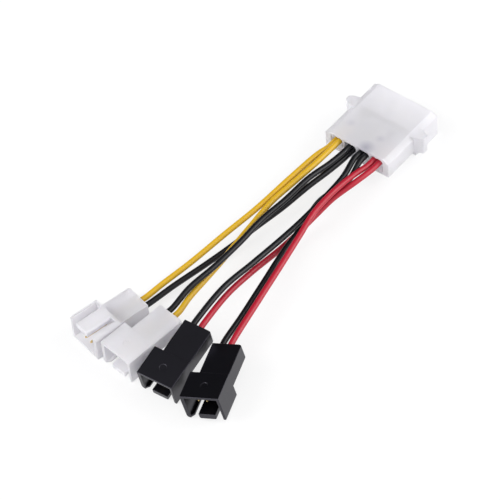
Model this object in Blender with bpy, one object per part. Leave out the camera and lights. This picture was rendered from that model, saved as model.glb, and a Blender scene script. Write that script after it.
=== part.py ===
"""Drive power adapter cable that feeds four fan connectors.

One wide plug housing with four round pins splits into four short cables. Each of them ends in a
small shrouded housing with two square pins. Two of these carry 12 V on yellow and black wires, and
two carry 5 V on red and black wires. The cable lies on a table: the plug at +X, the four small
housings side by side at -X, one of them upside down. Sizes are in metres and +Z is up.

Each housing is modelled in its own frame. The plug's runs from its wire end at x = 0 to its mouth,
centred on y = 0. A small housing's runs from its mouth at x = 0 to its wire end, with its straight
side at y = 0. In both, the flat top is z = 0 and the housing hangs below it.
"""
import math

import bmesh
import bpy
from mathutils import Euler, Matrix, Vector

# Plug housing
PLUG_LENGTH = 0.0250
PLUG_REAR_LENGTH = 0.0140
PLUG_WIDTH = 0.0242
PLUG_HEIGHT = 0.0093
PLUG_REAR_HEIGHT = 0.0068
PLUG_CHAMFER_WIDTH = 0.0020
PLUG_CHAMFER_HEIGHT = 0.00105
PLUG_CORNER_RADIUS = 0.0005
PLUG_WALL = 0.0009
PLUG_TOP_WALL = 0.0008
PLUG_PARTITION = 0.0018
PLUG_PIN_PITCH = 0.00508
PLUG_CAVITY_WIDTH = 0.00445
PLUG_CAVITY_HEIGHT = 0.0052
PLUG_CAVITY_RADIUS = 0.0010

# Grip ears on the plug's narrow sides
EAR_START = 0.0128
EAR_LENGTH = 0.0044
EAR_TIP_LENGTH = 0.0020
EAR_TIP_OFFSET = 0.0013
EAR_REACH = 0.0028
EAR_BASE_DEPTH = 0.0018
EAR_TOP = 0.0002
EAR_HEIGHT = 0.0064
EAR_RADIUS = 0.0006

# Round pin of the plug
PLUG_PIN_RADIUS = 0.001065
PLUG_PIN_TIP_RADIUS = 0.00055
PLUG_PIN_TIP_LENGTH = 0.0007
PLUG_PIN_RECESS = 0.0010
PLUG_PIN_BODY_RADIUS = 0.0017
PLUG_PIN_BODY_LENGTH = 0.0026
PLUG_PIN_NECK_LENGTH = 0.0006
PLUG_CRIMP_LENGTH = 0.0024
PLUG_CRIMP_WIDTH = 0.0035
PLUG_CRIMP_HEIGHT = 0.0017

# Fan housing
FAN_FRONT_LENGTH = 0.0097
FAN_REAR_LENGTH = 0.0116
FAN_FRONT_WIDTH = 0.0122
FAN_REAR_WIDTH = 0.0093
FAN_FRONT_HEIGHT = 0.0088
FAN_REAR_HEIGHT = 0.00495
FAN_REAR_STEP = 0.00012
FAN_PLATE = 0.0007
FAN_STRAIGHT_WALL = 0.0008
FAN_WIDE_WALL = 0.0013
FAN_BACK_WALL = 0.0009
FAN_WIDE_CORNER_RADIUS = 0.0010
FAN_CORNER_RADIUS = 0.0002
FAN_REAR_CORNER_RADIUS = 0.0008
FAN_PIN_PITCH = 0.00254
FAN_CAVITY_COUNT = 3
FAN_CAVITY_WIDTH = 0.0022
FAN_CAVITY_HEIGHT = 0.0024
FAN_CAVITY_RADIUS = 0.0003
FAN_CAVITY_START = 0.0109
FAN_TONGUE_START = 0.0029
FAN_TONGUE_WIDTH = 0.0053
FAN_TONGUE_THICKNESS = 0.0019
FAN_TONGUE_CHAMFER = 0.0004
FAN_FLANGE_WIDTH = 0.0008
FAN_FLANGE_THICKNESS = 0.0007
FAN_FLANGE_START = 0.0003
FAN_FLANGE_SLOPE = 0.0009
FAN_MARK_RADIUS = 0.0011
FAN_MARK_DEPTH = 0.00015

# Square pin of the fan housing
FAN_PIN_SIDE = 0.00064
FAN_PIN_TIP_SIDE = 0.00032
FAN_PIN_TIP_LENGTH = 0.0006
FAN_PIN_RECESS = 0.0012
FAN_PIN_BODY_WIDTH = 0.0017
FAN_PIN_BODY_HEIGHT = 0.0015
FAN_PIN_BODY_LENGTH = 0.0022
FAN_PIN_NECK_LENGTH = 0.0004
FAN_CRIMP_LENGTH = 0.0019

# Clearances and small edges
PIN_HOLE_CLEARANCE = 0.00015
SEAT_CLEARANCE = 0.0003
EDGE_BREAK = 0.00012
CUT_MARGIN = 0.0020
JOIN_DEPTH = 0.0004

# Wires
WIRE_DIAMETER = 0.00185
WIRE_PAIR_GAP = 0.00025
YELLOW_PAIR_TURN = -33.0
UPPER_PAIR_TURN = 75.0
WIRE_TOP_CLEARANCE = 0.000275
WIRE_LEAD_OUT = 0.0030
WIRE_FAN_LEAD_OUT = 0.0025
WIRE_POINT_SPACING = 0.0045

# Places on the table: x and y of a housing's own origin, then yaw, pitch and roll in degrees.
PLUG_PLACE = (0.04015, 0.00137)
FAN_5V_A_PLACE = (-0.0639, -0.01235)
FAN_5V_A_TURN = (5.8, -8.9, 0.0)
FAN_12V_B_TURN = (-6.1, 0.0, 0.0)
FAN_12V_A_TURN = (-11.9, 0.0, 180.0)
FAN_5V_B_TURN = (21.0, 2.5, -12.4)
# Offsets of a housing's front corner from its neighbour's, along the neighbour and sideways.
FAN_12V_B_OFFSET = (0.0013, 0.0034)
FAN_12V_A_OFFSET = (-0.0009, 0.0013)
FAN_5V_B_OFFSET = (-0.0013, 0.00345)

NATURAL_NYLON = ("natural_nylon", (0.78, 0.78, 0.80), 0.35, 0.0)
BLACK_NYLON = ("black_nylon", (0.012, 0.012, 0.014), 0.40, 0.0)
TINNED_BRASS = ("tinned_brass", (0.72, 0.70, 0.64), 0.30, 1.0)
GOLD_BRASS = ("gold_plated_brass", (0.80, 0.60, 0.25), 0.30, 1.0)
YELLOW_PVC = ("yellow_pvc", (0.74, 0.43, 0.03), 0.45, 0.0)
BLACK_PVC = ("black_pvc", (0.015, 0.015, 0.018), 0.45, 0.0)
RED_PVC = ("red_pvc", (0.58, 0.012, 0.035), 0.45, 0.0)

# Routes between the lead-out points at both ends, from the plug to the fan housing.
ROUTES = {
    "wire_12v_a_yellow": (
        (0.0324, 0.0106, 0.0066), (0.0210, 0.0114, 0.0065), (0.0052, 0.0128, 0.0053),
        (-0.0075, 0.0146, 0.0045), (-0.0218, 0.0165, 0.0035), (-0.0321, 0.0183, 0.0029),
    ),
    "wire_12v_b_yellow": (
        (0.0294, 0.0082, 0.0075), (0.0186, 0.0093, 0.0068), (0.0095, 0.0102, 0.0062),
        (-0.0008, 0.0098, 0.0053), (-0.0088, 0.0092, 0.0050), (-0.0163, 0.0084, 0.0050),
        (-0.0242, 0.0077, 0.0052), (-0.0334, 0.0068, 0.0057),
    ),
    "wire_12v_b_black": (
        (0.0313, 0.0047, 0.0074), (0.0224, 0.0059, 0.0080), (0.0117, 0.0065, 0.0076),
        (0.0011, 0.0074, 0.0075), (-0.0087, 0.0072, 0.0073), (-0.0208, 0.0074, 0.0073),
        (-0.0315, 0.0082, 0.0073),
    ),
    "wire_12v_a_black": (
        (0.0300, 0.0042, 0.0055), (0.0215, 0.0056, 0.0052), (0.0114, 0.0072, 0.0042),
        (0.0001, 0.0096, 0.0032), (-0.0077, 0.0108, 0.0028), (-0.0185, 0.0128, 0.0026),
        (-0.0306, 0.0153, 0.0026),
    ),
    "wire_5v_a_black": (
        (0.0287, -0.0023, 0.0080), (0.0181, -0.0030, 0.0082), (0.0073, -0.0030, 0.0081),
        (-0.0020, -0.0025, 0.0081), (-0.0141, -0.0019, 0.0088), (-0.0277, -0.0019, 0.0107),
    ),
    "wire_5v_b_black": (
        (0.0303, -0.0032, 0.0059), (0.0182, -0.0014, 0.0061), (0.0076, -0.0033, 0.0060),
        (-0.0023, -0.0047, 0.0061), (-0.0179, -0.0079, 0.0061), (-0.0306, -0.0105, 0.0061),
    ),
    "wire_5v_b_red": (
        (0.0310, -0.0046, 0.0083), (0.0204, -0.0045, 0.0097), (0.0114, -0.0048, 0.0095),
        (0.0021, -0.0066, 0.0089), (-0.0103, -0.0090, 0.0082), (-0.0244, -0.0116, 0.0074),
    ),
    "wire_5v_a_red": (
        (0.0299, -0.0063, 0.0074), (0.0214, -0.0039, 0.0059), (0.0148, -0.0028, 0.0042),
        (0.0071, -0.0024, 0.0035), (-0.0024, -0.0023, 0.0040), (-0.0153, -0.0023, 0.0062),
        (-0.0272, -0.0029, 0.0081),
    ),
}


def material(finish):
    """Returns the material for a (name, colour, roughness, metallic) finish, made once."""
    name, colour, roughness, metallic = finish
    found = bpy.data.materials.get(name)
    if found:
        return found
    made = bpy.data.materials.new(name)
    made.use_nodes = True
    shader = made.node_tree.nodes["Principled BSDF"]
    shader.inputs["Base Color"].default_value = (*colour, 1.0)
    shader.inputs["Roughness"].default_value = roughness
    shader.inputs["Metallic"].default_value = metallic
    return made


def add_object(name, data, finish, matrix=None):
    """Puts mesh or curve data in the scene as one named piece."""
    data.materials.clear()
    data.materials.append(material(finish))
    piece = bpy.data.objects.new(name, data)
    bpy.context.collection.objects.link(piece)
    if matrix is not None:
        piece.matrix_world = matrix
    return piece


def rounded(corners, radius, steps=3):
    """Rounds a polygon's corners; radius is one size or one for each corner."""
    count = len(corners)
    radii = radius if isinstance(radius, (list, tuple)) else [radius] * count
    outline = []
    for index, corner in enumerate(corners):
        here = Vector(corner)
        to_last = Vector(corners[index - 1]) - here
        to_next = Vector(corners[(index + 1) % count]) - here
        if radii[index] <= 0:
            outline.append(tuple(here))
            continue
        to_last.normalize()
        to_next.normalize()
        half = to_last.angle(to_next) / 2
        centre = here + (to_last + to_next).normalized() * radii[index] / math.sin(half)
        reach = radii[index] / math.tan(half)
        start = here + to_last * reach - centre
        turn = start.angle_signed(here + to_next * reach - centre)
        for step in range(steps + 1):
            angle = -turn * step / steps
            spoke = Matrix.Rotation(angle, 2) @ start
            outline.append(tuple(centre + spoke))
    return outline


def box_outline(low_a, high_a, low_b, high_b):
    return [(low_a, low_b), (high_a, low_b), (high_a, high_b), (low_a, high_b)]


def circle_outline(centre_a, centre_b, radius, count=16):
    return [
        (centre_a + radius * math.cos(math.tau * i / count), centre_b + radius * math.sin(math.tau * i / count))
        for i in range(count)
    ]


def loft(rings):
    """Closed mesh through rings of points that all have the same count."""
    form = bmesh.new()
    rows = [[form.verts.new(point) for point in ring] for ring in rings]
    count = len(rows[0])
    for row, following in zip(rows, rows[1:]):
        for i in range(count):
            j = (i + 1) % count
            form.faces.new((row[i], row[j], following[j], following[i]))
    form.faces.new(rows[0])
    form.faces.new(rows[-1])
    bmesh.ops.recalc_face_normals(form, faces=form.faces)
    return form


def along_x(outline, start, end):
    """Prism of a (y, z) outline between two x places."""
    return loft([[(x, y, z) for y, z in outline] for x in (start, end)])


def along_z(outline, low, high):
    """Prism of an (x, y) outline between two heights."""
    return loft([[(x, y, z) for x, y in outline] for z in (low, high)])


def break_edges(form, picked, width=EDGE_BREAK):
    """Takes the sharpness off the edges for which picked(edge) is true."""
    edges = [edge for edge in form.edges if picked(edge)]
    bmesh.ops.bevel(form, geom=edges, offset=width, segments=1, affect="EDGES")
    return form


def in_plane(axis, value):
    """Test for edges that lie in the plane where the axis has the value."""
    return lambda edge: all(abs(vert.co[axis] - value) < 1e-7 for vert in edge.verts)


def to_mesh(form, name="shape"):
    mesh = bpy.data.meshes.new(name)
    form.to_mesh(mesh)
    form.free()
    return mesh


def combine(base, steps):
    """Joins forms to the base and cuts forms out of it, in the order of the steps."""
    body = bpy.data.objects.new("body", to_mesh(base))
    bpy.context.collection.objects.link(body)
    tools = []
    for operation, form in steps:
        tool = bpy.data.objects.new("tool", to_mesh(form))
        tool.hide_render = True
        tool.display_type = "WIRE"
        bpy.context.collection.objects.link(tool)
        modifier = body.modifiers.new("step", "BOOLEAN")
        modifier.operation = operation
        modifier.solver = "EXACT"
        modifier.object = tool
        tools.append(tool)
    evaluated = body.evaluated_get(bpy.context.evaluated_depsgraph_get())
    result = bpy.data.meshes.new_from_object(evaluated)
    for leftover in [body, *tools]:
        bpy.data.objects.remove(leftover)
    return result


def plug_outline(height, inset=0.0):
    """The plug's D-shaped section, with both top edges chamfered."""
    side = PLUG_WIDTH / 2 - inset
    shoulder = PLUG_WIDTH / 2 - PLUG_CHAMFER_WIDTH - inset * 0.5
    corners = [
        (-shoulder, -inset), (shoulder, -inset), (side, -PLUG_CHAMFER_HEIGHT - inset * 0.5),
        (side, -height + inset), (-side, -height + inset), (-side, -PLUG_CHAMFER_HEIGHT - inset * 0.5),
    ]
    return rounded(corners, PLUG_CORNER_RADIUS)


def plug_pin_height():
    """Height of the plug pins' axis, in the middle of the wire cavities."""
    return -PLUG_TOP_WALL - PLUG_CAVITY_HEIGHT / 2


def plug_pin_sides():
    """The four pins' y places, from the 12 V side."""
    return [PLUG_PIN_PITCH * (1.5 - i) for i in range(4)]


def ear_form(side):
    """Grip ear on one narrow side, thinner at its tip, with its base over the chamfer."""
    root = side * (PLUG_WIDTH / 2 - EAR_BASE_DEPTH)
    wall = side * PLUG_WIDTH / 2
    tip = side * (PLUG_WIDTH / 2 + EAR_REACH)
    tip_start = EAR_START + EAR_TIP_OFFSET
    corners = [
        (EAR_START, wall), (EAR_START, root), (EAR_START + EAR_LENGTH, root),
        (EAR_START + EAR_LENGTH, wall), (tip_start + EAR_TIP_LENGTH, tip), (tip_start, tip),
    ]
    outline = rounded(corners, [0, 0, 0, 0, EAR_RADIUS, EAR_RADIUS])
    return along_z(outline, -EAR_TOP - EAR_HEIGHT, -EAR_TOP)


def plug_housing_mesh():
    mouth = along_x(plug_outline(PLUG_HEIGHT), PLUG_REAR_LENGTH, PLUG_LENGTH)
    break_edges(mouth, in_plane(0, PLUG_LENGTH))
    rear = along_x(plug_outline(PLUG_REAR_HEIGHT), 0.0, PLUG_REAR_LENGTH + JOIN_DEPTH)
    break_edges(rear, in_plane(0, 0.0))
    steps = [("UNION", rear), ("UNION", ear_form(1)), ("UNION", ear_form(-1))]
    hollow_start = PLUG_REAR_LENGTH + PLUG_WALL
    hollow = along_x(plug_outline(PLUG_HEIGHT, PLUG_WALL), hollow_start, PLUG_LENGTH + CUT_MARGIN)
    steps.append(("DIFFERENCE", hollow))
    cavity_end = hollow_start - PLUG_PARTITION
    for y in plug_pin_sides():
        low, high = -PLUG_TOP_WALL - PLUG_CAVITY_HEIGHT, -PLUG_TOP_WALL
        section = box_outline(y - PLUG_CAVITY_WIDTH / 2, y + PLUG_CAVITY_WIDTH / 2, low, high)
        steps.append(("DIFFERENCE", along_x(rounded(section, PLUG_CAVITY_RADIUS), -CUT_MARGIN, cavity_end)))
        hole = circle_outline(y, plug_pin_height(), PLUG_PIN_RADIUS + PIN_HOLE_CLEARANCE)
        steps.append(("DIFFERENCE", along_x(hole, cavity_end - JOIN_DEPTH, hollow_start + JOIN_DEPTH)))
    return combine(mouth, steps)


def plug_pin_stations():
    """Places of the pin's steps along x, from the crimp to the tip."""
    body_end = PLUG_REAR_LENGTH + PLUG_WALL - PLUG_PARTITION - SEAT_CLEARANCE
    body_start = body_end - PLUG_PIN_BODY_LENGTH
    crimp_end = body_start - PLUG_PIN_NECK_LENGTH
    crimp_start = crimp_end - PLUG_CRIMP_LENGTH
    tip = PLUG_LENGTH - PLUG_PIN_RECESS
    return crimp_start, crimp_end, body_start, body_end, tip


def plug_pin_mesh(y):
    """Round pin with a shouldered body and an oval crimp barrel."""
    crimp_start, crimp_end, body_start, body_end, tip = plug_pin_stations()
    flat = (PLUG_CRIMP_WIDTH / 2, PLUG_CRIMP_HEIGHT / 2)
    waist = (PLUG_CRIMP_WIDTH * 0.46, PLUG_CRIMP_HEIGHT * 0.44)
    body = (PLUG_PIN_BODY_RADIUS, PLUG_PIN_BODY_RADIUS)
    pin = (PLUG_PIN_RADIUS, PLUG_PIN_RADIUS)
    tip_round = (PLUG_PIN_TIP_RADIUS, PLUG_PIN_TIP_RADIUS)
    sections = [
        (crimp_start, flat), (crimp_start + PLUG_CRIMP_LENGTH * 0.2, flat),
        (crimp_start + PLUG_CRIMP_LENGTH * 0.35, waist), (crimp_start + PLUG_CRIMP_LENGTH * 0.8, waist),
        (crimp_end, flat), (body_start, pin), (body_start + PLUG_PIN_NECK_LENGTH / 2, body),
        (body_end - PLUG_PIN_NECK_LENGTH / 4, body), (body_end, pin),
        (tip - PLUG_PIN_TIP_LENGTH, pin), (tip, tip_round),
    ]
    height = plug_pin_height()
    rings = []
    for x, (half_width, half_height) in sections:
        ring = circle_outline(0.0, 0.0, 1.0)
        rings.append([(x, y + a * half_width, height + b * half_height) for a, b in ring])
    return to_mesh(loft(rings))


def fan_cavity_sides():
    """The cavities' y places in the rear body, from the straight side."""
    middle = (FAN_CAVITY_COUNT - 1) / 2
    return [FAN_REAR_WIDTH / 2 + FAN_PIN_PITCH * (i - middle) for i in range(FAN_CAVITY_COUNT)]


def fan_pin_height():
    return -FAN_REAR_HEIGHT / 2


def fan_hollow_outline():
    """Section of the mouth: a box with a slot through the bottom on each side of the tongue.

    On the wide side a flange along the wall's foot narrows the slot.
    """
    low = -FAN_FRONT_HEIGHT - FAN_TONGUE_CHAMFER
    floor = -FAN_FRONT_HEIGHT + FAN_TONGUE_THICKNESS
    inner_wide = FAN_FRONT_WIDTH - FAN_WIDE_WALL
    flange_edge = inner_wide - FAN_FLANGE_WIDTH
    flange_top = -FAN_FRONT_HEIGHT + FAN_FLANGE_THICKNESS
    tongue_end = FAN_TONGUE_START + FAN_TONGUE_WIDTH
    spread = 2 * FAN_TONGUE_CHAMFER
    chamfer_top = -FAN_FRONT_HEIGHT + FAN_TONGUE_CHAMFER
    return [
        (FAN_STRAIGHT_WALL, -FAN_PLATE), (inner_wide, -FAN_PLATE),
        (inner_wide, flange_top), (flange_edge, flange_top), (flange_edge, low),
        (tongue_end - spread, low), (tongue_end, chamfer_top), (tongue_end, floor),
        (FAN_TONGUE_START, floor), (FAN_TONGUE_START, chamfer_top),
        (FAN_TONGUE_START + spread, low), (FAN_STRAIGHT_WALL, low),
    ]


def flange_start_form():
    """What is cut from the flange at the mouth, so that it starts with a slope."""
    inner_wide = FAN_FRONT_WIDTH - FAN_WIDE_WALL
    overshoot = 1.25
    slope_end = FAN_FLANGE_START + FAN_FLANGE_SLOPE * overshoot
    past_edge = inner_wide - FAN_FLANGE_WIDTH * overshoot
    plan = [
        (-CUT_MARGIN, past_edge), (slope_end, past_edge),
        (FAN_FLANGE_START, inner_wide), (-CUT_MARGIN, inner_wide),
    ]
    flange_top = -FAN_FRONT_HEIGHT + FAN_FLANGE_THICKNESS
    return along_z(plan, -FAN_FRONT_HEIGHT - CUT_MARGIN, flange_top + FAN_FLANGE_THICKNESS)


def fan_housing_mesh():
    front_section = rounded(
        box_outline(0.0, FAN_FRONT_WIDTH, -FAN_FRONT_HEIGHT, 0.0),
        [FAN_CORNER_RADIUS, FAN_WIDE_CORNER_RADIUS, FAN_CORNER_RADIUS, FAN_CORNER_RADIUS],
    )
    front = along_x(front_section, 0.0, FAN_FRONT_LENGTH)
    break_edges(front, in_plane(0, 0.0))
    length = FAN_FRONT_LENGTH + FAN_REAR_LENGTH
    rear_plan = rounded(
        box_outline(FAN_FRONT_LENGTH - JOIN_DEPTH, length, 0.0, FAN_REAR_WIDTH),
        [0, FAN_REAR_CORNER_RADIUS, FAN_CORNER_RADIUS, 0],
    )
    rear = along_z(rear_plan, -FAN_REAR_HEIGHT, -FAN_REAR_STEP)
    break_edges(rear, in_plane(2, -FAN_REAR_STEP))
    steps = [("UNION", rear)]
    hollow_end = FAN_FRONT_LENGTH - FAN_BACK_WALL
    steps.append(("DIFFERENCE", along_x(fan_hollow_outline(), -CUT_MARGIN, hollow_end)))
    steps.append(("DIFFERENCE", flange_start_form()))
    hole_half = FAN_PIN_SIDE / 2 + PIN_HOLE_CLEARANCE
    height = fan_pin_height()
    for y in fan_cavity_sides():
        section = box_outline(
            y - FAN_CAVITY_WIDTH / 2, y + FAN_CAVITY_WIDTH / 2,
            height - FAN_CAVITY_HEIGHT / 2, height + FAN_CAVITY_HEIGHT / 2,
        )
        cavity = along_x(rounded(section, FAN_CAVITY_RADIUS, 2), FAN_CAVITY_START, length + CUT_MARGIN)
        steps.append(("DIFFERENCE", cavity))
        hole = box_outline(y - hole_half, y + hole_half, height - hole_half, height + hole_half)
        steps.append(("DIFFERENCE", along_x(hole, hollow_end - JOIN_DEPTH, FAN_CAVITY_START + JOIN_DEPTH)))
    mark = circle_outline(FAN_FRONT_LENGTH / 2, FAN_FRONT_WIDTH / 2, FAN_MARK_RADIUS)
    steps.append(("DIFFERENCE", along_z(mark, -FAN_MARK_DEPTH, CUT_MARGIN)))
    return combine(front, steps)


def fan_pin_stations():
    """Places of the pin's steps along x, from the tip in the mouth to the crimp."""
    body_start = FAN_CAVITY_START + SEAT_CLEARANCE
    body_end = body_start + FAN_PIN_BODY_LENGTH
    crimp_start = body_end + FAN_PIN_NECK_LENGTH
    return FAN_PIN_RECESS, body_start, body_end, crimp_start, crimp_start + FAN_CRIMP_LENGTH


def fan_pin_mesh(y):
    """Square pin with a box-shaped body and a crimp barrel."""
    tip, body_start, body_end, crimp_start, crimp_end = fan_pin_stations()
    point = (FAN_PIN_TIP_SIDE / 2, FAN_PIN_TIP_SIDE / 2)
    pin = (FAN_PIN_SIDE / 2, FAN_PIN_SIDE / 2)
    body = (FAN_PIN_BODY_WIDTH / 2, FAN_PIN_BODY_HEIGHT / 2)
    neck = (FAN_PIN_BODY_WIDTH * 0.35, FAN_PIN_BODY_HEIGHT * 0.35)
    sections = [
        (tip, point), (tip + FAN_PIN_TIP_LENGTH, pin), (body_start, pin),
        (body_start + FAN_PIN_NECK_LENGTH / 4, body), (body_end, body),
        (body_end + FAN_PIN_NECK_LENGTH / 4, neck), (crimp_start, neck),
        (crimp_start + FAN_PIN_NECK_LENGTH / 2, body), (crimp_end, body),
    ]
    height = fan_pin_height()
    rings = []
    for x, (half_width, half_height) in sections:
        corners = box_outline(-half_width, half_width, -half_height, half_height)
        ring = rounded(corners, half_height * 0.2, 1)
        rings.append([(x, y + a, height + b) for a, b in ring])
    return to_mesh(loft(rings))


def turned(angles):
    yaw, pitch, roll = (math.radians(angle) for angle in angles)
    return Euler((roll, pitch, yaw)).to_matrix()


def on_table(place, turn, corners):
    """Placing matrix that lets the lowest of the corners touch the table."""
    height = -min((turn @ Vector(corner)).z for corner in corners)
    return Matrix.Translation((place[0], place[1], height)) @ turn.to_4x4()


def plug_matrix():
    corners = [(x, 0.0, -PLUG_HEIGHT) for x in (PLUG_REAR_LENGTH, PLUG_LENGTH)]
    return on_table(PLUG_PLACE, Matrix.Identity(3), corners)


def fan_corners():
    """Corners of the shroud and the rear body that can touch the table."""
    length = FAN_FRONT_LENGTH + FAN_REAR_LENGTH
    corners = [(x, y, 0.0) for x in (0.0, FAN_FRONT_LENGTH) for y in (0.0, FAN_FRONT_WIDTH)]
    corners += [(x, 0.0, -FAN_FRONT_HEIGHT) for x in (0.0, FAN_FRONT_LENGTH)]
    wide_side = FAN_FRONT_WIDTH - FAN_WIDE_CORNER_RADIUS
    corners += [(x, wide_side, -FAN_FRONT_HEIGHT) for x in (0.0, FAN_FRONT_LENGTH)]
    corners += [(length, y, -FAN_REAR_HEIGHT) for y in (0.0, FAN_REAR_WIDTH)]
    return corners


def fan_matrices():
    """The four housings side by side, each placed against its neighbour."""
    corners = fan_corners()

    def beside(neighbour, turn, offset, side, own_side):
        flat = neighbour.to_euler().z
        step = Matrix.Rotation(flat, 3, "Z") @ Vector((offset[0], side + offset[1], 0.0))
        place = neighbour.translation + step - turn @ Vector((0.0, own_side, 0.0))
        return on_table(place, turn, corners)

    width = FAN_FRONT_WIDTH
    matrices = {"5v_a": on_table(FAN_5V_A_PLACE, turned(FAN_5V_A_TURN), corners)}
    matrices["12v_b"] = beside(matrices["5v_a"], turned(FAN_12V_B_TURN), FAN_12V_B_OFFSET, width, 0.0)
    matrices["12v_a"] = beside(matrices["12v_b"], turned(FAN_12V_A_TURN), FAN_12V_A_OFFSET, width, width)
    opposite = (FAN_5V_B_OFFSET[0], -FAN_5V_B_OFFSET[1])
    matrices["5v_b"] = beside(matrices["5v_a"], turned(FAN_5V_B_TURN), opposite, 0.0, width)
    return matrices


def smooth_points(route, spacing):
    """Evenly spaced points on a centripetal curve through the route's points."""
    points = [Vector(point) for point in route]
    padded = [2 * points[0] - points[1], *points, 2 * points[-1] - points[-2]]
    fine = []
    for a, b, c, d in zip(padded, padded[1:], padded[2:], padded[3:]):
        t1 = (b - a).length ** 0.5
        t2 = t1 + (c - b).length ** 0.5
        t3 = t2 + (d - c).length ** 0.5
        for step in range(12):
            t = t1 + (t2 - t1) * step / 12
            ab = a.lerp(b, t / t1)
            bc = b.lerp(c, (t - t1) / (t2 - t1))
            cd = c.lerp(d, (t - t2) / (t3 - t2))
            abc = ab.lerp(bc, t / t2)
            bcd = bc.lerp(cd, (t - t1) / (t3 - t1))
            fine.append(abc.lerp(bcd, (t - t1) / (t2 - t1)))
    fine.append(points[-1])
    lengths = [0.0]
    for start, end in zip(fine, fine[1:]):
        lengths.append(lengths[-1] + (end - start).length)
    count = max(2, round(lengths[-1] / spacing))
    even = []
    index = 0
    for number in range(count + 1):
        target = lengths[-1] * number / count
        while index < len(fine) - 2 and lengths[index + 1] < target:
            index += 1
        share = (target - lengths[index]) / (lengths[index + 1] - lengths[index])
        even.append(fine[index].lerp(fine[index + 1], min(1.0, share)))
    return even


def plug_wire_ends(matrix, y, side, pair_turn):
    """Points in and just outside a plug cavity, from the crimp to the lead-out.

    Two wires share a cavity, one on each side of its middle. They lie side by side in the crimp,
    and come out turned about each other by the pair's angle in degrees.
    """
    depth = plug_pin_stations()[0] - SEAT_CLEARANCE
    deep = plug_pin_height()
    half_pair = side * (WIRE_DIAMETER + WIRE_PAIR_GAP) / 2
    full_turn = math.radians(pair_turn)
    upper = -PLUG_TOP_WALL - WIRE_TOP_CLEARANCE - WIRE_DIAMETER / 2
    middle = upper - abs(half_pair * math.sin(full_turn))
    rise = middle - deep
    stations = (
        (depth, 0.0, 0.0), (depth * 0.55, 0.5, 0.3), (0.0, 1.0, 1.0), (-WIRE_LEAD_OUT, 1.0, 1.07),
    )
    points = []
    for x, turn_share, rise_share in stations:
        angle = full_turn * turn_share
        across, along_height = half_pair * math.cos(angle), half_pair * math.sin(angle)
        points.append(matrix @ Vector((x, y + across, deep + rise * rise_share + along_height)))
    return points


def fan_wire_ends(matrix, y):
    """Points just outside and in a fan cavity, from the lead-out to the crimp."""
    length = FAN_FRONT_LENGTH + FAN_REAR_LENGTH
    crimp_end = fan_pin_stations()[-1] + SEAT_CLEARANCE
    places = (length + WIRE_FAN_LEAD_OUT, length, (length + crimp_end) / 2, crimp_end)
    return [matrix @ Vector((x, y, fan_pin_height())) for x in places]


def wire_curve(points):
    """Round wire as a curve with filled ends."""
    curve = bpy.data.curves.new("wire", "CURVE")
    curve.dimensions = "3D"
    curve.bevel_depth = WIRE_DIAMETER / 2
    curve.bevel_resolution = 2
    curve.use_fill_caps = True
    spline = curve.splines.new("POLY")
    spline.points.add(len(points) - 1)
    for spot, point in zip(spline.points, points):
        spot.co = (*point, 1.0)
    return curve


def shade_smooth(mesh):
    """Smooth shading, with the edges that turn by more than 35 degrees kept sharp."""
    for face in mesh.polygons:
        face.use_smooth = True
    mesh.set_sharp_from_angle(angle=math.radians(35))
    return mesh


def build():
    for leftover in list(bpy.data.objects):
        bpy.data.objects.remove(leftover)

    plug_place = plug_matrix()
    add_object("plug_housing", plug_housing_mesh(), NATURAL_NYLON, plug_place)
    pin_names = ("plug_pin_12v", "plug_pin_ground_a", "plug_pin_ground_b", "plug_pin_5v")
    for name, y in zip(pin_names, plug_pin_sides()):
        add_object(name, shade_smooth(plug_pin_mesh(y)), TINNED_BRASS, plug_place)

    fan_places = fan_matrices()
    fan_mesh = fan_housing_mesh()
    _, supply_side, ground_side = fan_cavity_sides()
    for name, place in fan_places.items():
        plastic = NATURAL_NYLON if name.startswith("12v") else BLACK_NYLON
        add_object("fan_housing_" + name, fan_mesh.copy(), plastic, place)
        add_object("fan_pin_" + name + "_supply", fan_pin_mesh(supply_side), GOLD_BRASS, place)
        add_object("fan_pin_" + name + "_ground", fan_pin_mesh(ground_side), GOLD_BRASS, place)

    # Wire, its plug cavity, its side of the pair there and the pair's turn, its fan housing and cavity.
    supply, ground_a, ground_b, low_supply = plug_pin_sides()
    wires = (
        ("wire_12v_a_yellow", supply, 1, YELLOW_PAIR_TURN, "12v_a", supply_side, YELLOW_PVC),
        ("wire_12v_b_yellow", supply, -1, YELLOW_PAIR_TURN, "12v_b", supply_side, YELLOW_PVC),
        ("wire_12v_b_black", ground_a, 1, UPPER_PAIR_TURN, "12v_b", ground_side, BLACK_PVC),
        ("wire_12v_a_black", ground_a, -1, UPPER_PAIR_TURN, "12v_a", ground_side, BLACK_PVC),
        ("wire_5v_a_black", ground_b, 1, 0.0, "5v_a", ground_side, BLACK_PVC),
        ("wire_5v_b_black", ground_b, -1, 0.0, "5v_b", ground_side, BLACK_PVC),
        ("wire_5v_b_red", low_supply, 1, 0.0, "5v_b", supply_side, RED_PVC),
        ("wire_5v_a_red", low_supply, -1, 0.0, "5v_a", supply_side, RED_PVC),
    )
    for name, cavity_side, pair_side, pair_turn, fan_name, fan_side, plastic in wires:
        route = plug_wire_ends(plug_place, cavity_side, pair_side, pair_turn)
        route += [Vector(point) for point in ROUTES[name]]
        route += fan_wire_ends(fan_places[fan_name], fan_side)
        add_object(name, wire_curve(smooth_points(route, WIRE_POINT_SPACING)), plastic)


build()
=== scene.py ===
# %% [markdown]
# # A drive power to fan adapter cable
#
# The cable has one wide plug of milky nylon with four round pins. Eight wires leave it and end in four
# small fan connectors, two milky ones on yellow and black wires and two black ones on red and black wires.
# It lies on a white table. The measured model is loaded first, and every piece made here stands where that
# model puts it.

# %% Load the measured model
import math

import bpy
from mathutils import Euler, Matrix, Vector


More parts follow.
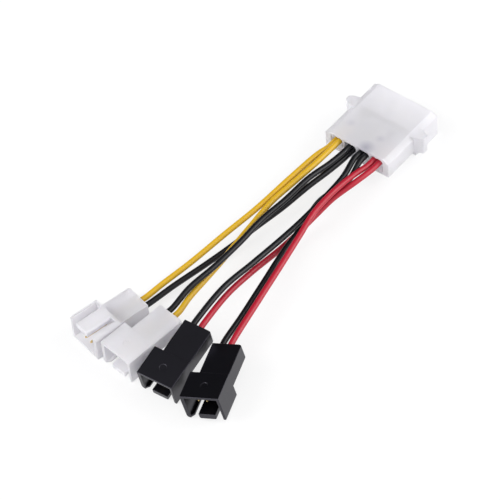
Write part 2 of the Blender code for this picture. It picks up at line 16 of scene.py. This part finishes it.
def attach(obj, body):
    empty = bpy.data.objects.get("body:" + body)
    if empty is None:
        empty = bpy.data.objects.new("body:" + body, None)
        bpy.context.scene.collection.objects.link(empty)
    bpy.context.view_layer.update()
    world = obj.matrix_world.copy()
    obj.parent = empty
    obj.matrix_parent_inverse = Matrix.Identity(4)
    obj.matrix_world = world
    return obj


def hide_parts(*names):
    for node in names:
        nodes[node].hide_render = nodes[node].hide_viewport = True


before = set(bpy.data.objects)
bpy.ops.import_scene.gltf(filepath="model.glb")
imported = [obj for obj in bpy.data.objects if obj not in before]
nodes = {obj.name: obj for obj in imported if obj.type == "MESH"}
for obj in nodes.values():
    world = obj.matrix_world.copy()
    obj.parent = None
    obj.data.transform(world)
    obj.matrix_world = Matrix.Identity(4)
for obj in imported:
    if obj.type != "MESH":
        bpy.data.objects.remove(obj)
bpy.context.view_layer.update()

# %% [markdown]
# ## The camera
#
# A product photo of something this small is taken from close to a metre away, with a long lens, so parallel
# edges stay nearly parallel. The camera stands beside the small connectors, looks down at 49 degrees and is
# turned a little about its own line of sight. A Track To constraint could aim it, but can't give it that
# last turn. So its place is worked out from three directions: back from the cable to the camera, right, and
# up.

# %% Camera
LOOK_AT = Vector((-0.0052, 0.0072, 0.0))
CAMERA_DISTANCE = 0.8
CAMERA_ELEVATION = math.radians(49.31)
CAMERA_AZIMUTH = math.radians(-46.2)
CAMERA_ROLL = math.radians(-6.34)
LENS_MM = 192.2
SENSOR_MM = 36.0
CLIP_START = 0.01

level_right = Vector((math.cos(CAMERA_AZIMUTH), math.sin(CAMERA_AZIMUTH), 0.0))
back = Vector((
    math.sin(CAMERA_AZIMUTH) * math.cos(CAMERA_ELEVATION),
    -math.cos(CAMERA_AZIMUTH) * math.cos(CAMERA_ELEVATION),
    math.sin(CAMERA_ELEVATION),
))
level_up = back.cross(level_right)
right = level_right * math.cos(CAMERA_ROLL) + level_up * math.sin(CAMERA_ROLL)
up = level_up * math.cos(CAMERA_ROLL) - level_right * math.sin(CAMERA_ROLL)

bpy.ops.object.camera_add()
camera = bpy.context.object
camera.name = "camera"
camera.data.sensor_width = SENSOR_MM
camera.data.lens = LENS_MM
camera.data.clip_start = CLIP_START
facing = Matrix((right, up, back)).transposed().to_4x4()
camera.matrix_world = Matrix.Translation(LOOK_AT + back * CAMERA_DISTANCE) @ facing
bpy.context.scene.camera = camera
print("camera at", [round(v, 3) for v in camera.location])

# %% [markdown]
# ## Where the housings lie
#
# The wires start and end inside the housings, so their places are needed before the wires. They could be
# read from the boxes of the measured pieces, but a box doesn't tell how a piece is turned. So each housing
# has a frame of its own, and one matrix takes a point from it to the table. A small housing's frame starts
# at its mouth, with the straight side at y = 0 and the top at z = 0. The plug's starts at its wire end, in
# the middle of its width.

# %% Places of the housings
def place_at(location, yaw=0.0, pitch=0.0, roll=0.0):
    """The matrix of a housing at a place on the table, turned by angles in degrees."""
    turn = Euler((math.radians(roll), math.radians(pitch), math.radians(yaw)))
    return Matrix.Translation(location) @ turn.to_matrix().to_4x4()


PLUG = place_at((0.04015, 0.00137, 0.0093))
FANS = {
    "12v_a": place_at((-0.061128, 0.028759, 0.0), yaw=-11.9, roll=180.0),
    "12v_b": place_at((-0.064183, 0.003302, 0.0088), yaw=-6.1),
    "5v_a": place_at((-0.0639, -0.01235, 0.008694), yaw=5.8, pitch=-8.9),
    "5v_b": place_at((-0.060468, -0.026997, 0.011412), yaw=21.0, pitch=2.5, roll=-12.4),
}
for name, matrix in FANS.items():
    print(name, "mouth corner at", [round(v * 1000, 1) for v in matrix.translation])

# %% [markdown]
# ## The wires' routes
#
# Each wire is a stiff little lead of stranded copper in soft PVC, 1.85 mm thick and just under 100 mm long.
# It could be drawn as straight runs joined by arcs, but real wire has no such joints. So the route is a
# handful of points, read off the photo, with a smooth curve through them all. In the plug two wires share a
# cavity. They lie side by side in their crimp, and come out turned about each other.

# %% Routes
WIRE_DIAMETER = 0.00185
PLUG_CRIMP_END = 0.0069
PLUG_WIRE_DEPTH = -0.0034
PLUG_WIRE_TOP = -0.0020
LEAD_OUT = 0.0030
HALF_PAIR = 0.00105
FAN_WIRE_END = (0.0238, 0.0213, 0.01865, 0.0160)
FAN_WIRE_HEIGHT = -0.002475
SUPPLY_CAVITY = 0.00465
GROUND_CAVITY = 0.00719

ROUTES = {
    "12v_a_yellow": (
        (0.0324, 0.0106, 0.0066), (0.0210, 0.0114, 0.0065), (0.0052, 0.0128, 0.0053),
        (-0.0075, 0.0146, 0.0045), (-0.0218, 0.0165, 0.0035), (-0.0321, 0.0183, 0.0029),
    ),
    "12v_b_yellow": (
        (0.0294, 0.0082, 0.0075), (0.0186, 0.0093, 0.0068), (0.0095, 0.0102, 0.0062),
        (-0.0008, 0.0098, 0.0053), (-0.0088, 0.0092, 0.0050), (-0.0163, 0.0084, 0.0050),
        (-0.0242, 0.0077, 0.0052), (-0.0334, 0.0068, 0.0057),
    ),
    "12v_b_black": (
        (0.0313, 0.0047, 0.0074), (0.0224, 0.0059, 0.0080), (0.0117, 0.0065, 0.0076),
        (0.0011, 0.0074, 0.0075), (-0.0087, 0.0072, 0.0073), (-0.0208, 0.0074, 0.0073),
        (-0.0315, 0.0082, 0.0073),
    ),
    "12v_a_black": (
        (0.0300, 0.0042, 0.0055), (0.0215, 0.0056, 0.0052), (0.0114, 0.0072, 0.0042),
        (0.0001, 0.0096, 0.0032), (-0.0077, 0.0108, 0.0028), (-0.0185, 0.0128, 0.0026),
        (-0.0306, 0.0153, 0.0026),
    ),
    "5v_a_black": (
        (0.0287, -0.0023, 0.0080), (0.0181, -0.0030, 0.0082), (0.0073, -0.0030, 0.0081),
        (-0.0020, -0.0025, 0.0081), (-0.0141, -0.0019, 0.0088), (-0.0277, -0.0019, 0.0107),
    ),
    "5v_b_black": (
        (0.0303, -0.0032, 0.0059), (0.0182, -0.0014, 0.0061), (0.0076, -0.0033, 0.0060),
        (-0.0023, -0.0047, 0.0061), (-0.0179, -0.0079, 0.0061), (-0.0306, -0.0105, 0.0061),
    ),
    "5v_b_red": (
        (0.0310, -0.0046, 0.0083), (0.0204, -0.0045, 0.0097), (0.0114, -0.0048, 0.0095),
        (0.0021, -0.0066, 0.0089), (-0.0103, -0.0090, 0.0082), (-0.0244, -0.0116, 0.0074),
    ),
    "5v_a_red": (
        (0.0299, -0.0063, 0.0074), (0.0214, -0.0039, 0.0059), (0.0148, -0.0028, 0.0042),
        (0.0071, -0.0024, 0.0035), (-0.0024, -0.0023, 0.0040), (-0.0153, -0.0023, 0.0062),
        (-0.0272, -0.0029, 0.0081),
    ),
}
# Each wire's cavity in the plug, its side of the pair there, and the angle at which the pair comes out.
PLUG_ENDS = {
    "12v_a_yellow": (0.00762, 1, -33), "12v_b_yellow": (0.00762, -1, -33),
    "12v_b_black": (0.00254, 1, 75), "12v_a_black": (0.00254, -1, 75),
    "5v_a_black": (-0.00254, 1, 0), "5v_b_black": (-0.00254, -1, 0),
    "5v_b_red": (-0.00762, 1, 0), "5v_a_red": (-0.00762, -1, 0),
}


def plug_end(name):
    """Points in the plug, from the crimp, where a pair lies side by side, to just outside."""
    cavity, side, turn = PLUG_ENDS[name]
    arm = side * HALF_PAIR
    turn = math.radians(turn)
    rise = PLUG_WIRE_TOP - abs(arm * math.sin(turn)) - PLUG_WIRE_DEPTH
    # Each point's distance from the wire end, its share of the pair's turn and its share of the rise.
    steps = ((PLUG_CRIMP_END, 0, 0), (PLUG_CRIMP_END * 0.55, 0.5, 0.3), (0, 1, 1), (-LEAD_OUT, 1, 1.07))
    points = []
    for x, part, lift in steps:
        y = cavity + arm * math.cos(turn * part)
        z = PLUG_WIRE_DEPTH + rise * lift + arm * math.sin(turn * part)
        points.append(PLUG @ Vector((x, y, z)))
    return points


def whole_route(name):
    """The wire's points from its crimp in the plug to its crimp in the fan connector."""
    points = plug_end(name) + [Vector(point) for point in ROUTES[name]]
    cavity = GROUND_CAVITY if name.endswith("black") else SUPPLY_CAVITY
    fan = FANS[name.rsplit("_", 1)[0]]
    return points + [fan @ Vector((x, cavity, FAN_WIRE_HEIGHT)) for x in FAN_WIRE_END]


print("points in each route:", {name: len(whole_route(name)) for name in ROUTES})

# %% [markdown]
# ## A smooth curve
#
# Stiff wire bends evenly and never has a kink. A curve through a route could have handles at each point,
# set by hand. The centripetal curve needs none: each stretch follows from its own two ends and the points
# beyond them, and it doesn't overshoot where points are close together. Its points are then spread evenly,
# so that all the rings of a wire's tube lie the same distance apart.

# %% Smooth curve through a route
STEPS_PER_STRETCH = 12


def smooth_curve(route, spacing):
    """Evenly spaced points on the centripetal curve through a route."""
    padded = [2 * route[0] - route[1], *route, 2 * route[-1] - route[-2]]
    fine = []
    for a, b, c, d in zip(padded, padded[1:], padded[2:], padded[3:]):
        t1 = (b - a).length ** 0.5
        t2 = t1 + (c - b).length ** 0.5
        t3 = t2 + (d - c).length ** 0.5
        for step in range(STEPS_PER_STRETCH):
            t = t1 + (t2 - t1) * step / STEPS_PER_STRETCH
            ab = a.lerp(b, t / t1)
            bc = b.lerp(c, (t - t1) / (t2 - t1))
            cd = c.lerp(d, (t - t2) / (t3 - t2))
            before = ab.lerp(bc, t / t2)
            after = bc.lerp(cd, (t - t1) / (t3 - t1))
            fine.append(before.lerp(after, (t - t1) / (t2 - t1)))
    fine.append(route[-1])
    reach = [0.0]
    for start, end in zip(fine, fine[1:]):
        reach.append(reach[-1] + (end - start).length)
    count = round(reach[-1] / spacing)
    even = []
    index = 0
    for number in range(count + 1):
        target = reach[-1] * number / count
        while index < len(fine) - 2 and reach[index + 1] < target:
            index += 1
        share = (target - reach[index]) / (reach[index + 1] - reach[index])
        even.append(fine[index].lerp(fine[index + 1], share))
    return even, reach[-1]


straight, straight_length = smooth_curve([Vector((x, 0.0, 0.0)) for x in (0.0, 0.004, 0.010)], 0.001)
print("a straight route of 10 mm has", len(straight), "points, length", round(straight_length * 1000, 2), "mm")

# %% [markdown]
# ## Making the wires
#
# A wire is drawn as a curve with a round bevel, and then converted to a mesh, a plain tube whose size
# Blender measures exactly. The curve's length is summed from its points as they are laid out. They lie 1
# mm apart, about half its thickness, which is close enough that no facet shows along a bend.

# %% Wires
POINT_SPACING = 0.001
RIM_RESOLUTION = 6
SMOOTH_UNDER = math.radians(50)


def make_active(piece):
    """Selects this piece alone, so that the next operator works on nothing else."""
    bpy.ops.object.select_all(action="DESELECT")
    piece.select_set(True)
    bpy.context.view_layer.objects.active = piece


wires = {}
for name in ROUTES:
    points, length = smooth_curve(whole_route(name), POINT_SPACING)
    line = bpy.data.curves.new("lead_" + name, "CURVE")
    line.dimensions = "3D"
    line.bevel_depth = WIRE_DIAMETER / 2
    line.bevel_resolution = RIM_RESOLUTION
    line.use_fill_caps = True
    spline = line.splines.new("POLY")
    spline.points.add(len(points) - 1)
    for spot, point in zip(spline.points, points):
        spot.co = (*point, 1.0)
    spline.use_smooth = True
    wire = bpy.data.objects.new("lead_" + name, line)
    bpy.context.collection.objects.link(wire)
    make_active(wire)
    bpy.ops.object.convert(target="MESH")
    bpy.ops.object.shade_smooth_by_angle(angle=SMOOTH_UNDER)
    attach(wire, "root")
    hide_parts("wire_" + name)
    wires[name] = wire
    print(name, "is", round(length * 1000, 1), "mm long")

# %% [markdown]
# ## Colours and nodes
#
# Colours are written as the hex values of a screen, which are sRGB. Shaders work in linear light, so one
# function turns the one into the other. Another small function adds a node, sets it and links it.

# %% Colour and node helpers
def colour(hexadecimal):
    """An sRGB hex colour as a linear RGBA value."""
    channels = [int(hexadecimal[i:i + 2], 16) / 255 for i in (1, 3, 5)]
    return (*[c / 12.92 if c <= 0.04045 else ((c + 0.055) / 1.055) ** 2.4 for c in channels], 1.0)


def add_node(material, kind, settings=None, inputs=None):
    """Adds a node, with its properties set and its inputs given a value or linked to an output."""
    node = material.node_tree.nodes.new("ShaderNode" + kind)
    for key, value in (settings or {}).items():
        setattr(node, key, value)
    for key, value in (inputs or {}).items():
        if isinstance(value, bpy.types.NodeSocket):
            material.node_tree.links.new(value, node.inputs[key])
        else:
            node.inputs[key].default_value = value
    return node


def new_material(name, **values):
    """A material whose Principled shader has the given socket values."""
    material = bpy.data.materials.new(name)
    material.use_nodes = True
    shader = material.node_tree.nodes["Principled BSDF"]
    for key, value in values.items():
        shader.inputs[key.replace("_", " ")].default_value = value
    return material, shader


def link(material, output, node, socket):
    """Links an output to a socket that is named on a node."""
    material.node_tree.links.new(output, node.inputs[socket])


print("mid grey #808080 is linear", round(colour("#808080")[0], 3))

# %% [markdown]
# ## PVC insulation
#
# Wire insulation is PVC, pressed hot round the copper strands. It comes out smooth with a soft gloss, and
# the strands show through as a very faint waviness. It could be one flat colour, but that looks drawn, so
# two close tones drift into each other over 6 mm or so. The single strands are 0.16 mm thick, too fine to
# see from here, and the waviness is drawn at 1.5 mm. Two helpers serve every plastic: one makes the tones,
# and one the fine bump.

# %% PVC for the wires
def cloudy_tint(material, place, size, darker, lighter, detail=3.0):
    """The output of a colour that drifts between two tones, in clouds of the given size in metres."""
    cloud = add_node(material, "TexNoise", inputs={"Vector": place, "Scale": 1 / size, "Detail": detail})
    tint = add_node(material, "Mix", {"data_type": "RGBA"}, {
        "Factor": cloud.outputs["Fac"], 6: colour(darker), 7: colour(lighter),
    })
    return tint.outputs[2]


def fine_bump(material, shader, place, size, strength, height):
    """Gives the shader a bump with grains of the given size and height in metres."""
    grain = add_node(material, "TexNoise", inputs={"Vector": place, "Scale": 1 / size, "Detail": 2.0})
    bump = add_node(material, "Bump", inputs={
        "Strength": strength, "Distance": height, "Height": grain.outputs["Fac"],
    })
    link(material, bump.outputs["Normal"], shader, "Normal")


def pvc(name, lighter, darker, roughness, specular):
    """Insulation of one colour."""
    material, shader = new_material(name, Roughness=roughness, IOR=1.53, Specular_IOR_Level=specular)
    place = add_node(material, "TexCoord").outputs["Object"]
    tint = cloudy_tint(material, place, size=0.006, darker=darker, lighter=lighter)
    link(material, tint, shader, "Base Color")
    fine_bump(material, shader, place, size=0.0015, strength=0.05, height=0.00002)
    return material


pvc_colours = {
    "yellow": pvc("extruded_pvc_yellow", "#D2A820", "#C99F18", roughness=0.40, specular=0.45),
    "black": pvc("extruded_pvc_black", "#0D0D13", "#08080C", roughness=0.36, specular=0.30),
    "red": pvc("extruded_pvc_red", "#AA162D", "#9F1127", roughness=0.40, specular=0.40),
}
for name, wire in wires.items():
    shade = name.rsplit("_", 1)[1]
    wire.data.materials.append(pvc_colours[shade])
print("insulation colours:", sorted(pvc_colours))

# %% [markdown]
# ## Moulded edges
#
# An injection mould has no perfectly sharp edges, so each housing catches a thin line of light along its
# rims. A rounded look could come from the shader alone, but real geometry holds in every view and in the
# mesh itself. Each housing's measured surface is copied, its loose triangles are merged into one skin,
# flat areas are dissolved into single faces, which are split where they aren't convex, and a Bevel modifier
# rounds what is left. The modifier would shrink every bevel to suit the shortest edge, a twentieth of a
# millimetre, so its clamp is off, and so is its sliding along edges, which folds the rim of the plug's
# mouth over it. A last modifier keeps flat faces flat.

# %% Housings with rounded edges
MERGE_DISTANCE = 0.000002
FLAT_UNDER = math.radians(1)
ROUNDED_OVER = math.radians(35)
EDGE_ROUNDING = {"plug": 0.00010, "12v_a": 0.00006, "12v_b": 0.00006, "5v_a": 0.00009, "5v_b": 0.00009}


def moulded_copy(node_name, new_name, edge):
    """A copy of a measured piece with rounded edges, which takes its place."""
    source = nodes[node_name]
    piece = bpy.data.objects.new(new_name, source.data.copy())
    bpy.context.collection.objects.link(piece)
    make_active(piece)
    bpy.ops.object.mode_set(mode="EDIT")
    bpy.ops.mesh.select_all(action="SELECT")
    bpy.ops.mesh.remove_doubles(threshold=MERGE_DISTANCE)
    bpy.ops.mesh.dissolve_limited(angle_limit=FLAT_UNDER)
    bpy.ops.mesh.select_all(action="SELECT")
    bpy.ops.mesh.vert_connect_concave()
    bpy.ops.object.mode_set(mode="OBJECT")
    bevel = piece.modifiers.new("moulded edges", "BEVEL")
    bevel.width = edge
    bevel.segments = 2
    bevel.limit_method = "ANGLE"
    bevel.angle_limit = ROUNDED_OVER
    bevel.use_clamp_overlap = False
    bevel.loop_slide = False
    bpy.ops.object.modifier_apply(modifier=bevel.name)
    bpy.ops.object.shade_smooth_by_angle(angle=SMOOTH_UNDER)
    weigh = piece.modifiers.new("flat faces stay flat", "WEIGHTED_NORMAL")
    weigh.keep_sharp = True
    bpy.ops.object.modifier_apply(modifier=weigh.name)
    piece.data.materials.clear()
    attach(piece, "root")
    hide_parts(node_name)
    print(new_name, len(piece.data.polygons), "faces")
    return piece


housings = {"plug": moulded_copy("plug_housing", "plug_shell", EDGE_ROUNDING["plug"])}
for name in FANS:
    housings[name] = moulded_copy("fan_housing_" + name, "fan_shell_" + name, EDGE_ROUNDING[name])

# %% [markdown]
# ## Natural nylon
#
# The milky housings are nylon 66 without any pigment, injection moulded. Light goes into it and is
# scattered, so thin walls glow, the hollow behind them shows as a soft grey, and a clouding some 7 mm wide
# tells of the way the melt ran into the mould. It could be all scattering, like wax, or all transmission,
# like glass, and a share of each comes nearer to it. The real surface grain is far below a tenth of a
# millimetre. It is drawn at 0.9 mm, so that it shows at all. Dark wires end in their crimps just under the
# plug's top, and their shade shows through it as soft grey spots. The scattering carries little of that
# shade up through 0.8 mm of wall, so the spots are painted shade as well: faint round gradients of grey
# painted into the base colour.

# %% Natural nylon
# Each spot of painted shade on the plug, where the wires inside darken it: its distance from the wire end, its
# place across, its radius and its strength.
PAINTED_SHADE_GREY = "#9C9CAE"
PAINTED_CRIMP_SHADE_SPOTS = ((0.0013, -0.0027, 0.0032, 0.6), (0.0066, -0.0041, 0.0018, 0.3), (0.0068, 0.0072, 0.0020, 0.22))

nylon, shader = new_material(
    "moulded_natural_nylon", Roughness=0.5, IOR=1.53, Transmission_Weight=0.55, Subsurface_Weight=0.6,
    Subsurface_Scale=0.001, Subsurface_Radius=(1.0, 1.0, 1.0),
)
place = add_node(nylon, "TexCoord").outputs["Object"]
tint = cloudy_tint(nylon, place, size=0.007, darker="#F1F0F8", lighter="#FDFBFF")
# Painted shade: each spot mixes a grey into the base colour, strongest at its middle and fading out round it.
for x, y, radius, strength in PAINTED_CRIMP_SHADE_SPOTS:
    spot = add_node(nylon, "Mapping", {"vector_type": "TEXTURE"}, {
        "Vector": place, "Location": PLUG @ Vector((x, y, 0.0)), "Scale": (radius, radius, radius),
    })
    painted_shade_fade = add_node(nylon, "TexGradient", {"gradient_type": "SPHERICAL"}, {"Vector": spot.outputs[0]})
    painted_shade_amount = add_node(nylon, "Math", {"operation": "MULTIPLY"}, {0: painted_shade_fade.outputs["Fac"], 1: strength})
    painted_shade_mix = add_node(nylon, "Mix", {"data_type": "RGBA"}, {
        "Factor": painted_shade_amount.outputs[0], 6: tint, 7: colour(PAINTED_SHADE_GREY),
    })
    tint = painted_shade_mix.outputs[2]
link(nylon, tint, shader, "Base Color")
fine_bump(nylon, shader, place, size=0.0009, strength=0.15, height=0.00003)
for name in ("plug", "12v_a", "12v_b"):
    housings[name].data.materials.append(nylon)
print("soft spots in the natural nylon:", len(PAINTED_CRIMP_SHADE_SPOTS))

# %% [markdown]
# ## Black nylon
#
# The other two housings come from the same mould, with carbon black in the nylon. It lets no light in, so
# all that the eye gets is gloss: the tops look almost black, and a side seen at a low angle mirrors the
# white table and turns grey. A darker colour alone could make it black, but would look like paint, so it is
# the gloss that is tuned. The moulded grain is drawn at 0.6 mm, coarser than the real one, for it to break
# up that gloss.

# %% Black nylon
black_nylon, shader = new_material(
    "moulded_black_nylon", Roughness=0.30, IOR=1.53, Specular_Tint=colour("#EEEBFF"),
)
place = add_node(black_nylon, "TexCoord").outputs["Object"]
tint = cloudy_tint(black_nylon, place, size=0.004, darker="#060608", lighter="#0B0B0F", detail=4.0)
link(black_nylon, tint, shader, "Base Color")
fine_bump(black_nylon, shader, place, size=0.0006, strength=0.2, height=0.00003)
for name in ("5v_a", "5v_b"):
    housings[name].data.materials.append(black_nylon)
print("black nylon is as glossy as roughness", round(shader.inputs["Roughness"].default_value, 2))

# %% [markdown]
# ## Metal of the contacts
#
# The plug's pins are rolled from brass strip and plated with bright tin, a slightly warm white metal. The
# square pins of the small housings are drawn brass wire with a flash of gold over nickel. Both have fine
# lines along them from the die and the rolls. Real lines are some hundredths of a millimetre apart, and
# here 0.15 mm, so that they show. An image of scratches could give them, but this part uses no images, so a
# noise is stretched ten times along X, which each pin nearly follows. It changes both the tone and the
# gloss.

# %% Plated metals
LINE_SPACING = 0.00015
STRETCH_ALONG = 10.0
GLOSS_SWING = 0.08


def plated(name, darker, lighter, roughness):
    """Plated brass with fine lines along it."""
    metal, shader = new_material(name, Metallic=1.0)
    place = add_node(metal, "TexCoord").outputs["Object"]
    drawn = add_node(metal, "Mapping", inputs={"Vector": place, "Scale": (1 / STRETCH_ALONG, 1.0, 1.0)})
    lines = add_node(metal, "TexNoise", inputs={
        "Vector": drawn.outputs[0], "Scale": 1 / LINE_SPACING, "Detail": 2.0,
    })
    tint = add_node(metal, "Mix", {"data_type": "RGBA"}, {
        "Factor": lines.outputs["Fac"], 6: colour(darker), 7: colour(lighter),
    })
    link(metal, tint.outputs[2], shader, "Base Color")
    gloss = add_node(metal, "MapRange", inputs={
        "Value": lines.outputs["Fac"], "To Min": roughness - GLOSS_SWING, "To Max": roughness + GLOSS_SWING,
    })
    link(metal, gloss.outputs[0], shader, "Roughness")
    return metal


tin = plated("bright_tin_on_brass", "#CFCDC7", "#E4E2DC", roughness=0.26)
gold = plated("gold_flash_on_brass", "#D4B878", "#ECD298", roughness=0.28)
print("plated metals:", tin.name, gold.name)

# %% [markdown]
# ## Shape of the contacts
#
# A round pin is strip rolled into a tube. Its nose is closed to a dome, and where the strip's edges meet a
# fine seam runs along it. A square pin is cut wire with a coined point. They could be built anew, but the
# measured pins already have the right sizes, so each is copied and merged like a housing. A bevel rounds
# its nose and edges, and the long face on top of a round pin is inset and pressed in for the seam.

# %% Contacts
SEAM = 0.0001
LEAST_LONG_FACE = 3e-6
ROUND_PIN_EDGE = 0.00016
SQUARE_PIN_EDGE = 0.00005


def press_seam(pin):
    """Presses a narrow groove into the highest of a round pin's long faces."""
    bpy.ops.object.mode_set(mode="EDIT")
    bpy.ops.mesh.select_mode(type="FACE")
    bpy.ops.mesh.select_all(action="DESELECT")
    bpy.ops.object.mode_set(mode="OBJECT")
    long_faces = [face for face in pin.data.polygons if face.area > LEAST_LONG_FACE]
    max(long_faces, key=lambda face: face.normal.z).select = True
    bpy.ops.object.mode_set(mode="EDIT")
    bpy.ops.mesh.inset(thickness=SEAM, depth=-SEAM)
    bpy.ops.object.mode_set(mode="OBJECT")
    return len(long_faces)


for name in [node_name for node_name in nodes if "_pin_" in node_name]:
    is_round = name.startswith("plug")
    pin = moulded_copy(name, name.replace("pin", "contact"), ROUND_PIN_EDGE if is_round else SQUARE_PIN_EDGE)
    if is_round:
        print("long faces round the pin:", press_seam(pin))
    pin.data.materials.append(tin if is_round else gold)

# %% [markdown]
# ## Table
#
# The cable lies on white paper. Stronger lamps could make plain paper white, but they would wash out the
# pale housings too. So to the camera, and in gloss and clear plastic, the paper gives most of its white off
# by itself, which keeps the background even. The rest is lit by the lamps, and that part carries the
# shadow.

# %% Table
TABLE_SIZE = 6.0
PAPER_GLOW = 0.75

bpy.ops.mesh.primitive_plane_add(size=TABLE_SIZE)
table = bpy.context.object
table.name = "white_table"
paper, shader = new_material("white_paper", Base_Color=colour("#F4F4F5"), Roughness=0.9)
paths = add_node(paper, "LightPath").outputs
seen = paths["Is Camera Ray"]
for kind in ("Is Glossy Ray", "Is Transmission Ray"):
    seen = add_node(paper, "Math", {"operation": "MAXIMUM"}, {0: seen, 1: paths[kind]}).outputs[0]
share = add_node(paper, "Math", {"operation": "MULTIPLY"}, {0: seen, 1: PAPER_GLOW})
glow = add_node(paper, "Emission", inputs={"Color": (1, 1, 1, 1), "Strength": 1.0})
mix = add_node(paper, "MixShader", inputs={0: share.outputs[0], 1: shader.outputs[0], 2: glow.outputs[0]})
link(paper, mix.outputs[0], paper.node_tree.nodes["Material Output"], "Surface")
table.data.materials.append(paper)
print("share of the table's white that it gives off itself:", PAPER_GLOW)

# %% [markdown]
# ## Lamps and world
#
# Two large soft lamps stand left and right, as in a small product tent. A sun would be simpler, but it
# draws hard shadows. The tent is white nearly all round, and dark only on the side that a flat black top
# mirrors towards the camera. The world is shaded the same way, so the black housings look black and their
# sides stay grey.

# %% Lamps and world
DARK_SIDE = Vector((0.50, 0.68, 0.53)).normalized()
BRIGHT_SKY = 0.95
DARK_SKY = 0.03
DARK_FROM = 0.55
DARK_FULL = 0.93
LAMP_DISTANCE = 0.9
LAMP_SIZE = 0.6

world = bpy.data.worlds.new("studio")
bpy.context.scene.world = world
world.use_nodes = True
sky = add_node(world, "TexCoord").outputs["Generated"]
towards = add_node(world, "VectorMath", {"operation": "DOT_PRODUCT"}, {0: sky, 1: DARK_SIDE})
level = add_node(world, "MapRange", {"interpolation_type": "SMOOTHSTEP"}, {
    "Value": towards.outputs["Value"], "From Min": DARK_FROM, "From Max": DARK_FULL,
    "To Min": BRIGHT_SKY, "To Max": DARK_SKY,
})
background = world.node_tree.nodes["Background"]
background.inputs["Color"].default_value = (1, 1, 1, 1)
link(world, level.outputs[0], background, "Strength")


def soft_lamp(name, direction, power):
    """A square lamp that looks at the middle of the table."""
    bpy.ops.object.light_add(type="AREA")
    lamp = bpy.context.object
    lamp.name = name
    lamp.data.shape = "SQUARE"
    lamp.data.size = LAMP_SIZE
    lamp.data.energy = power
    aim = Vector(direction).normalized()
    lamp.location = aim * LAMP_DISTANCE
    lamp.rotation_euler = aim.to_track_quat("Z", "Y").to_euler()
    return lamp


soft_lamp("left", (-0.75, 0.55, 0.75), power=4.6)
soft_lamp("right", (0.75, -0.85, 0.6), power=5.2)
bpy.context.scene.view_settings.view_transform = "Standard"
